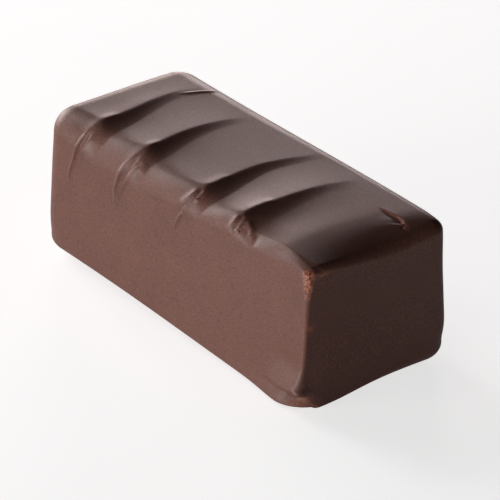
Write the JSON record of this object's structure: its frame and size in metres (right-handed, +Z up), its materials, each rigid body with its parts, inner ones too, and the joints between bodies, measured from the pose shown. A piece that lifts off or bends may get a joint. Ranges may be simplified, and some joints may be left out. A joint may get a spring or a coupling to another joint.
{
  "type": "chocolate bonbon",
  "caption": "Bar-shaped dark chocolate bonbon with a flat base, rounded coating and curved dipping-fork ridges across its top.",
  "frame": {"origin": "centre of the flat base", "axes": "+Z up, +X along the length towards the sharper end, -Y towards the long side that the ridges curl down"},
  "size_m": [0.039, 0.0167, 0.0144],
  "materials": {
    "dark_chocolate": "satin dark chocolate with a faint fine grain"
  },
  "bodies": {
    "root": {"bonbon": "dark_chocolate"}
  },
  "joints": []
}
